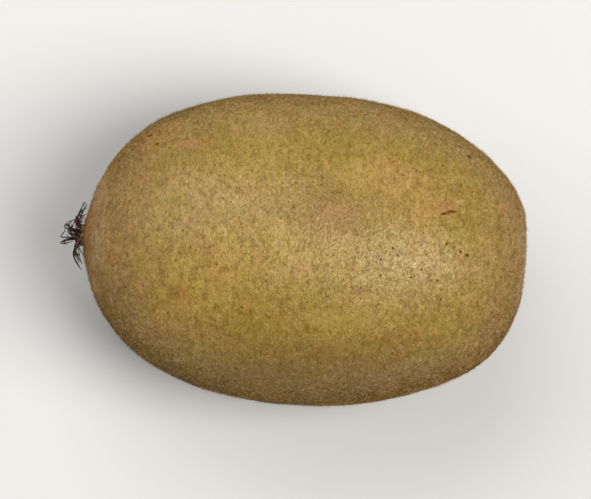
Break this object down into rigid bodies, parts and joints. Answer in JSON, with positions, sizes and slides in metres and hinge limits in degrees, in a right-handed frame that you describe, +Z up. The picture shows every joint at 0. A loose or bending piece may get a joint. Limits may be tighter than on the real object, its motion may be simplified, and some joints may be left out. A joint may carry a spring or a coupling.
{
  "type": "golden kiwi fruit",
  "caption": "Whole golden kiwi fruit lying on its side: blunt oval berry with fuzzy olive-gold skin, dried calyx in a dish at the stem end and a tuft of dried styles on the beak.",
  "frame": {"origin": "middle of the bounding box in X and Y, at the level of the flat spot the fruit rests on", "axes": "+X along the fruit from the blossom end to the stem end, +Z up as it rests"},
  "size_m": [0.0664, 0.0438, 0.0419],
  "materials": {
    "skin": "thin matte olive-gold skin with fine short fuzz",
    "dry_calyx": "dry corky tan and brown",
    "dry_styles": "dry, brittle, almost black"
  },
  "bodies": {
    "root": {"fruit": "skin", "calyx": "dry_calyx", "dried_styles": "dry_styles"}
  },
  "joints": []
}
